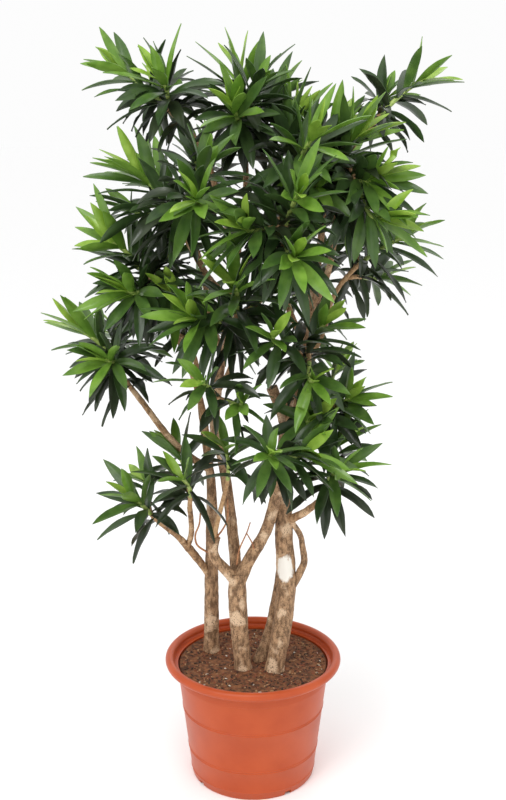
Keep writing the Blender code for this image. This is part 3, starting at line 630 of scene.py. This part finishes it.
make_bough("bough_centre_low", "arm_front_middle", 0.800, (-0.078, -0.090, 0.890), (-0.1, -0.9, 0.45),
           (-0.05, -0.7, 0.7), (0.0066, 0.0058))
make_bough("bough_back_left", "stem_left", 0.680, (-0.130, 0.170, 0.930), (-0.15, 0.85, 0.45),
           (-0.1, 0.3, 0.95), (0.0078, 0.0058))
make_bough("bough_back_right", "stem_back", 0.830, (0.150, 0.200, 0.990), (0.4, 0.75, 0.45),
           (0.2, 0.3, 0.9), (0.0078, 0.0058))
make_bough("bough_back_high", "stem_back", 1.000, (0.060, 0.220, 1.160), (-0.5, 0.75, 0.45),
           (-0.1, 0.2, 1.0), (0.0072, 0.0058))
make_bough("bough_back_upper", "arm_front_middle", 1.000, (-0.120, 0.150, 1.180), (-0.5, 0.75, 0.4),
           (-0.3, 0.2, 0.9), (0.0066, 0.0058))


# The shoots are what each mass hangs on: thin twigs that branch from the bough's tip. They are tan where
# their leaves have dropped and turn green-yellow in the last stretch, with a ring for every leaf scar.
TWIG_SIDES = 10
SHOOT_SPACING = 0.007
STEM_RADIUS = 0.0056
SHOOT_RADIUS = 0.0040
BRANCH_FROM = 0.35
BRANCH_STEP = 0.15
RISE_INSIDE = 80
RISE_OUTSIDE = 25
CROWN_RADIUS = 0.28
TIP_PAST_FAN = 0.034
REACHING_MASSES = {
    "leaves_top_right": 0.024, "leaves_top_left": 0.022, "leaves_left": 0.014, "leaves_top": 0.012,
}
BRANCH_TAPER = 0.9
GREEN_SHARE = 0.6
GREEN_STRETCH = 0.11
TWIG_SCAR_SPACING = 0.008
TWIG_SCAR_DEPTH = 0.0003
TWIG_SCAR_SHARPNESS = 4
SIDE_TWIG_AT = 0.45
SIDE_TWIG_LENGTH = 0.085
SIDE_TWIG_RADIUS = 0.0030
SHORTEST_WITH_SIDE_TWIG = 0.15
THIN_MASSES = {
    "leaves_low_left": 0.52, "leaves_low_inner": 0.42, "leaves_low_centre": 0.35, "leaves_front": 0.75,
    "leaves_right_low": 0.60, "leaves_right_mid": 0.75, "leaves_top_right": 0.62, "leaves_top_left": 0.75,
    "leaves_left": 0.85, "leaves_right": 0.52, "leaves_centre_right": 0.6, "leaves_centre_low": 0.45,
    "leaves_back_left": 0.75, "leaves_back_right": 0.60,
}
SEED = 11

# Each mass has the limb whose tip carries it, and the place that each shoot's young leaves fan out from.
MASSES = {
    "leaves_low_left": ("bough_low_left", [(-0.231, -0.055, 0.667), (-0.220, 0.060, 0.665)]),
    "leaves_low_inner": ("bough_low_inner", [(-0.130, -0.120, 0.732), (-0.150, 0.020, 0.740)]),
    "leaves_low_centre": ("arm_front_left", [(-0.050, -0.130, 0.800)]),
    "leaves_left": ("bough_left_mid", [
        (-0.317, 0.000, 1.017), (-0.262, -0.100, 0.985), (-0.255, 0.100, 0.985),
    ]),
    "leaves_left_mid": ("bough_left_up", [
        (-0.258, -0.050, 1.220), (-0.227, -0.120, 1.133), (-0.141, -0.080, 1.110),
    ]),
    "leaves_front": ("bough_front", [(0.031, -0.320, 0.861), (0.090, -0.230, 0.830)]),
    "leaves_right_low": ("bough_right_low", [(0.155, -0.200, 0.785), (0.165, -0.070, 0.800)]),
    "leaves_right_mid": ("bough_right_mid", [
        (0.175, -0.120, 0.908), (0.100, -0.180, 0.880), (0.160, 0.010, 0.930),
    ]),
    "leaves_right": ("bough_right_high", [
        (0.283, 0.000, 1.226), (0.262, 0.100, 1.128), (0.200, 0.140, 1.210),
    ]),
    "leaves_top_right": ("bough_top_right", [(0.298, 0.050, 1.532), (0.235, 0.100, 1.490)]),
    "leaves_upper_right": ("bough_upper_right", [
        (0.186, -0.050, 1.426), (0.150, 0.035, 1.420), (0.207, -0.110, 1.350), (0.224, -0.150, 1.285),
    ]),
    "leaves_top": ("bough_top", [(-0.020, 0.050, 1.518), (-0.029, -0.080, 1.462), (0.040, 0.130, 1.480)]),
    "leaves_top_left": ("bough_top_left", [
        (-0.222, 0.000, 1.546), (-0.145, -0.040, 1.510), (-0.160, 0.080, 1.490),
    ]),
    "leaves_centre_top": ("bough_centre_top", [(0.099, -0.150, 1.425), (0.066, 0.000, 1.439)]),
    "leaves_front_high": ("bough_front_high", [
        (0.076, -0.280, 1.343), (0.069, -0.300, 1.231), (-0.010, -0.240, 1.270),
    ]),
    "leaves_left_high": ("bough_left_high", [(-0.204, -0.050, 1.354), (-0.093, -0.250, 1.327)]),
    "leaves_centre": ("bough_centre", [(-0.030, -0.220, 1.160), (-0.100, -0.190, 1.090)]),
    "leaves_centre_right": ("bough_centre_right", [
        (0.125, -0.140, 1.063), (0.035, -0.220, 1.060), (0.105, -0.220, 0.975),
    ]),
    "leaves_centre_low": ("bough_centre_low", [(-0.087, -0.280, 0.990), (-0.020, -0.230, 0.930)]),
    "leaves_back_left": ("bough_back_left", [
        (-0.240, 0.190, 1.060), (-0.120, 0.270, 1.050), (-0.030, 0.230, 0.970),
    ]),
    "leaves_back_right": ("bough_back_right", [
        (0.175, 0.280, 1.180), (0.080, 0.310, 1.060), (0.130, 0.230, 0.950),
    ]),
    "leaves_back_high": ("bough_back_high", [
        (0.050, 0.340, 1.300), (0.190, 0.260, 1.330), (0.000, 0.280, 1.190),
    ]),
    "leaves_back_upper": ("bough_back_upper", [(-0.200, 0.220, 1.340), (-0.090, 0.280, 1.380)]),
}


def growth_direction(fan):
    """The way a shoot points: outward from the plant's middle, and nearly upright close to it."""
    away = Vector((fan.x, fan.y, 0))
    rise = math.radians(RISE_INSIDE + (RISE_OUTSIDE - RISE_INSIDE) * min(1, away.length / CROWN_RADIUS))
    return away.normalized() * math.cos(rise) + UP * math.sin(rise)


def line_length(path):
    """The length of a line of points."""
    return sum((b - a).length for a, b in zip(path, path[1:]))


def shoot_routes(limb, fans, full, reach, chance):
    """The stem of a mass, the shoots that branch from it, and a finer side twig on each long one."""
    path = LIMBS[limb][0]
    arriving = (path[-1] - path[-2]).normalized()
    foot = path[-1] - arriving * STEM_RADIUS
    ends = [(fan + growth_direction(fan) * reach, growth_direction(fan)) for fan in fans]
    stem = bend(foot, arriving, *ends[0], SHOOT_SPACING)
    routes = [(stem, STEM_RADIUS)]
    for i, (tip, growth) in enumerate(ends[1:]):
        j = int((BRANCH_FROM + BRANCH_STEP * i) * (len(stem) - 1))
        along = (stem[j + 1] - stem[j]).normalized()
        leaving = along + (tip - stem[j]).normalized()
        routes.append((bend(stem[j], leaving, tip, growth, SHOOT_SPACING), STEM_RADIUS * BRANCH_TAPER))
    for route, _ in list(routes):
        if not full or line_length(route) < SHORTEST_WITH_SIDE_TWIG:
            continue
        j = int(SIDE_TWIG_AT * (len(route) - 1))
        along = (route[j + 1] - route[j]).normalized()
        outward = Matrix.Rotation(chance.uniform(0, math.tau), 3, along) @ along.orthogonal().normalized()
        growth = (along + outward + UP * 0.5).normalized()
        tip = route[j] + (outward + along * 0.5 + UP * 0.2).normalized() * SIDE_TWIG_LENGTH
        routes.append((bend(route[j], along + outward, tip, growth, SHOOT_SPACING), SIDE_TWIG_RADIUS))
    return routes


young_bark = mottled("tan_twig_bark", "#A57E55", "#C6A277", 0.7, 160, 0.0006)
green_bark = mottled("green_shoot_skin", "#86A04A", "#A9BA66", 0.5, 120, 0.0003)
routes_of = {}
twigs = bmesh.new()
shoots = bmesh.new()
for name, (limb, fans) in MASSES.items():
    chance = random.Random(f"{SEED} {name}")
    reach = TIP_PAST_FAN + REACHING_MASSES.get(name, 0)
    full = name not in THIN_MASSES
    routes_of[name] = shoot_routes(limb, [Vector(fan) for fan in fans], full, reach, chance)
    for route, foot_radius in routes_of[name]:
        spacing = line_length(route) / (len(route) - 1)
        green = max(2, round(min(GREEN_STRETCH, GREEN_SHARE * line_length(route)) / spacing))
        joint = len(route) - 1 - green
        tip_radius = SHOOT_RADIUS if foot_radius > SHOOT_RADIUS else foot_radius * BRANCH_TAPER
        radii = radius_along(route, (foot_radius, tip_radius))
        for shape, first, last in ((twigs, 0, joint + 1), (shoots, joint, len(route))):
            if last - first < 2:
                continue

            def radius_at(step, turn, first=first):
                turns = (first + step) * spacing / TWIG_SCAR_SPACING
                scar = max(0, math.cos(math.tau * turns)) ** TWIG_SCAR_SHARPNESS
                return radii[first + step] + TWIG_SCAR_DEPTH * scar

            sweep(shape, route[first:last], radius_at, TWIG_SIDES)
for name, shape, material in (("tan_twigs", twigs, young_bark), ("green_shoots", shoots, green_bark)):
    bmesh.ops.recalc_face_normals(shape, faces=shape.faces)
    mesh = bpy.data.meshes.new(name)
    shape.to_mesh(mesh)
    shape.free()
    mesh.shade_smooth()
    mesh.set_sharp_from_angle(angle=math.radians(60))
    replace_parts(add_piece(name, mesh, material), *MASSES)

# A few thin old twigs stand about the stems: a curly one, one from the knob of the left arm, and a fork
# between the arms. They are bare, dry and red-brown.
TWIG_TAPER = 0.35
BARE_TWIGS = {
    "curly_twig": (0.0026, [
        (-0.099, 0.020, 0.530), (-0.102, -0.022, 0.547), (-0.123, -0.030, 0.566), (-0.127, -0.030, 0.590),
        (-0.118, -0.030, 0.615), (-0.114, -0.045, 0.655),
    ]),
    "knob_twig": (0.0022, [
        (-0.082, -0.030, 0.582), (-0.066, -0.030, 0.604), (-0.056, -0.032, 0.630), (-0.055, -0.045, 0.680),
    ]),
    "fork_twig_left": (0.0020, [
        (-0.036, -0.030, 0.520), (-0.030, -0.040, 0.560), (-0.014, -0.045, 0.600), (-0.006, -0.045, 0.625),
    ]),
    "fork_twig_right": (0.0018, [(0.004, -0.030, 0.550), (-0.002, -0.040, 0.575), (-0.014, -0.045, 0.600)]),
}
dry_bark = mottled("dry_twig_bark", "#8F5A3C", "#C08A5E", 0.75, 180, 0.0005)
shape = bmesh.new()
for radius, route in BARE_TWIGS.values():
    path = smooth_route(route, SHOOT_SPACING)
    sizes = [radius * (1 - TWIG_TAPER * step / len(path)) for step in range(len(path))]
    sweep(shape, path, lambda step, turn, sizes=sizes: sizes[step], TWIG_SIDES)
bmesh.ops.recalc_face_normals(shape, faces=shape.faces)
mesh = bpy.data.meshes.new("bare_twigs")
shape.to_mesh(mesh)
shape.free()
mesh.shade_smooth()
add_piece("bare_twigs", mesh, dry_bark)

# The leaves are narrow, pointed and channelled, mostly 8 to 15 cm long, set in a spiral round each shoot.
# The young ones stand up and are bright green. The old ones stand out, bend down and are dark.
LEAF_LENGTH = 0.142
LEAF_WIDTH = 0.0248
LEAF_THICKNESS = 0.0011
LEAF_STEPS = 9
LEAF_COLUMNS = 4
LEAF_FOLD = 0.34
LEAF_WAVE = 0.0016
WIDTH_STATIONS = (0, 0.12, 0.3, 0.48, 0.66, 0.82, 0.92, 1)
WIDTH_SHARES = (0.36, 0.58, 0.9, 1, 0.92, 0.62, 0.34, 0.03)
LEAVES_A_SHOOT = 32
LEAVES_A_SIDE_TWIG = 19
LEAFY_STRETCH = 0.23
PLACE_STEP = 0.004
PLACE_POWER = 1.15
FOOT_DEPTH = 0.002
YOUNGEST_LENGTH = 0.62
FULL_LENGTH_AT = 5
OLD_LENGTH_LOSS = 0.16
SIDE_LEAF_LENGTH = 0.85
SIDE_LEAF_AGE = 0.12
YOUNG_PITCH = 13
OLD_PITCH = 90
PITCH_POWER = 0.85
PITCH_SPREAD = 11
YOUNG_DROOP = 0.12
OLD_DROOP = 1.25
DROOP_POWER = 1.5
TIP_TWIST = 0.9
FOOT_TWIST = 0.35
GOLDEN_ANGLE = math.radians(137.5)
THIN_LENGTH = 0.92
LIMB_CLEARANCE = 0.003
LIMB_SAMPLE = 4
FOOT_STATIONS = 3
BOX_MARGIN = 0.03
LEAF_AGES = {
    "leaves_unfolding": (0.09, "#769A30", "#96B64A"),
    "leaves_young": (0.24, "#567C26", "#72963A"),
    "leaves_grown": (0.42, "#3D5A26", "#527030"),
    "leaves_mature": (0.70, "#2B4020", "#3B5228"),
    "leaves_old": (1.01, "#232E1B", "#303B24"),
}


shape = bmesh.new()
bmesh.ops.create_grid(shape, x_segments=LEAF_STEPS, y_segments=LEAF_COLUMNS, size=1)
bmesh.ops.solidify(shape, geom=shape.verts[:] + shape.edges[:] + shape.faces[:], thickness=1)
leaf, leaf_faces = template_arrays(shape)
leaf[:, 2] -= leaf[:, 2].mean()
station_of = np.rint((leaf[:, 0] + 1) / 2 * LEAF_STEPS).astype(int)
shares = np.linspace(0, 1, LEAF_STEPS + 1)
half_widths = np.interp(shares, WIDTH_STATIONS, WIDTH_SHARES) / 2
limb_points = np.array([p for path, _ in LIMBS.values() for p in path[::LIMB_SAMPLE]])
limb_radii = np.array([r for _, radii in LIMBS.values() for r in radii[::LIMB_SAMPLE]])
box_low = np.array(cad_low) - BOX_MARGIN
box_high = np.array(cad_high) + BOX_MARGIN


def unit(vectors):
    """Vectors scaled to length 1, one to a row."""
    return vectors / np.linalg.norm(vectors, axis=1, keepdims=True)


def leaf_corners(place, axis, turn, age, length, chance):
    """The corners of one leaf that grows at a place on its shoot, and the line of its midrib."""
    radial = Matrix.Rotation(turn, 3, axis) @ axis.orthogonal().normalized()
    pitch = YOUNG_PITCH + (OLD_PITCH - YOUNG_PITCH) * age**PITCH_POWER
    pitch = math.radians(pitch + chance.uniform(-PITCH_SPREAD, PITCH_SPREAD))
    start = axis * math.cos(pitch) + radial * math.sin(pitch)
    droop = YOUNG_DROOP + (OLD_DROOP - YOUNG_DROOP) * age**DROOP_POWER
    end = (start - UP * droop * chance.uniform(0.7, 1.3)).normalized()
    ways = unit(np.outer(1 - shares, start) + np.outer(shares, end))
    travelled = np.vstack([np.zeros(3), np.cumsum((ways[1:] + ways[:-1]) / 2, axis=0)])
    middle = np.array(place) + travelled * (length / LEAF_STEPS)
    face = np.array(axis * (1 - age) + UP * (0.3 + age) + radial * 0.001)
    sides = unit(np.cross(ways, face))
    twist = shares * chance.uniform(-TIP_TWIST, TIP_TWIST) + chance.uniform(-FOOT_TWIST, FOOT_TWIST)
    faces = np.cross(sides, ways)
    sides, faces = (
        sides * np.cos(twist)[:, None] + faces * np.sin(twist)[:, None],
        faces * np.cos(twist)[:, None] - sides * np.sin(twist)[:, None],
    )
    width = LEAF_WIDTH * chance.uniform(0.88, 1.1) * min(1, 0.62 + length / LEAF_LENGTH * 0.45)
    across = leaf[:, 1] * half_widths[station_of] * width
    wave = LEAF_WAVE * np.sin(shares * 11 + turn)[station_of] * leaf[:, 1] * age
    lift = LEAF_FOLD * np.abs(across) + wave + leaf[:, 2] * LEAF_THICKNESS
    corners = middle[station_of] + sides[station_of] * across[:, None] + faces[station_of] * lift[:, None]
    return corners, middle


def is_free(middle):
    """Whether a leaf keeps out of the stems and boughs and inside the plant's own reach."""
    if (middle < box_low).any() or (middle > box_high).any():
        return False
    away = np.linalg.norm(middle[FOOT_STATIONS:, None, :] - limb_points[None, :, :], axis=2)
    return (away - limb_radii).min() > LIMB_CLEARANCE


blocks = {age_name: [] for age_name in LEAF_AGES}
for name, routes in routes_of.items():
    chance = random.Random(f"{SEED} leaves {name}")
    for route, foot_radius in routes:
        side_twig = foot_radius == SIDE_TWIG_RADIUS
        share = THIN_MASSES.get(name, 1)
        count = round((LEAVES_A_SIDE_TWIG if side_twig else LEAVES_A_SHOOT) * share)
        stretch = min(LEAFY_STRETCH * share, line_length(route) - PLACE_STEP)
        back = even_steps(route[::-1], PLACE_STEP)
        spin = chance.uniform(0, math.tau)
        vigour = chance.uniform(0.84, 1.08) * (THIN_LENGTH if name in THIN_MASSES else 1)
        for i in range(count):
            age = (i + 0.5) / count
            step = min(len(back) - 2, int(stretch * age**PLACE_POWER / PLACE_STEP))
            axis = (back[step] - back[step + 1]).normalized()
            grown = YOUNGEST_LENGTH + (1 - YOUNGEST_LENGTH) * min(1, i / FULL_LENGTH_AT)
            grown -= OLD_LENGTH_LOSS * age
            length = LEAF_LENGTH * grown * vigour * chance.uniform(0.82, 1.1)
            length *= SIDE_LEAF_LENGTH if side_twig else 1
            turn = spin + i * GOLDEN_ANGLE + chance.uniform(-0.25, 0.25)
            corners, middle = leaf_corners(back[step] - axis * FOOT_DEPTH, axis, turn, age, length, chance)
            if is_free(middle):
                shown_age = min(1, age * chance.uniform(0.85, 1.2) + (SIDE_LEAF_AGE if side_twig else 0))
                kind = next(kind for kind, (oldest, _, _) in LEAF_AGES.items() if shown_age < oldest)
                blocks[kind].append(corners)
for kind, (_, dark, light) in LEAF_AGES.items():
    mesh = joined_mesh(kind, blocks[kind], leaf_faces)
    mesh.shade_smooth()
    mesh.set_sharp_from_angle(angle=math.radians(50))
    skin = mottled(kind + "_skin", dark, light, 0.31, 32, 0.001, detail=3, bump_strength=0.2, ior=1.45)
    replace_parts(add_piece(kind, mesh, skin), *MASSES)

# The studio has a plain white floor, soft white light all round and four large lamps, the strongest high
# at the left front. The camera stands where the photo was taken from.
LENS = 53.8
SENSOR = 36
CAMERA_PLACE = (0, -2.5, 1.545)
CAMERA_PITCH = math.radians(90 - 14.7)
FLOOR_RADIUS = 30
WORLD_STRENGTH = 0.98
LAMP_TARGET = Vector((0, 0, 0.9))
LAMPS = {
    "key": ((-1.7, -2.3, 2.9), 1.6, 34),
    "fill": ((2.2, -1.6, 1.9), 2.2, 8),
    "back": ((0.6, 2.6, 2.6), 2.0, 10),
    "top": ((-0.2, -1.5, 3.1), 0.9, 22),
}

floor_mesh = bpy.data.meshes.new("floor")
shape = bmesh.new()
bmesh.ops.create_circle(shape, segments=64, radius=FLOOR_RADIUS, cap_ends=True)
shape.to_mesh(floor_mesh)
shape.free()
floor = bpy.data.objects.new("floor", floor_mesh)
bpy.context.scene.collection.objects.link(floor)
paint = empty_material("matt_white_floor")
shader = add_node(paint, "ShaderNodeBsdfPrincipled", {"Base Color": linear("#FFFFFF"), "Roughness": 1.0})
add_node(paint, "ShaderNodeOutputMaterial", {"Surface": shader.outputs[0]})
floor_mesh.materials.append(paint)
floor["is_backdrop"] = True

for name, (spot, size, power) in LAMPS.items():
    lamp = bpy.data.objects.new(name, bpy.data.lights.new(name, "AREA"))
    bpy.context.scene.collection.objects.link(lamp)
    lamp.data.size = size
    lamp.data.energy = power
    lamp.location = spot
    lamp.rotation_euler = (LAMP_TARGET - Vector(spot)).to_track_quat("-Z", "Y").to_euler()

world = bpy.data.worlds.new("studio")
bpy.context.scene.world = world
world.use_nodes = True
world.node_tree.nodes["Background"].inputs["Color"].default_value = linear("#FFFFFF")
world.node_tree.nodes["Background"].inputs["Strength"].default_value = WORLD_STRENGTH
bpy.context.scene.view_settings.view_transform = "Standard"

camera = bpy.data.objects.new("camera", bpy.data.cameras.new("camera"))
bpy.context.scene.collection.objects.link(camera)
camera.data.lens = LENS
camera.data.sensor_width = SENSOR
camera.location = CAMERA_PLACE
camera.rotation_euler = (CAMERA_PITCH, 0, 0)
bpy.context.scene.camera = camera

shown_low, shown_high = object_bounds()
sizes = {"cad": [list(cad_low), list(cad_high)], "visual": [list(shown_low), list(shown_high)]}
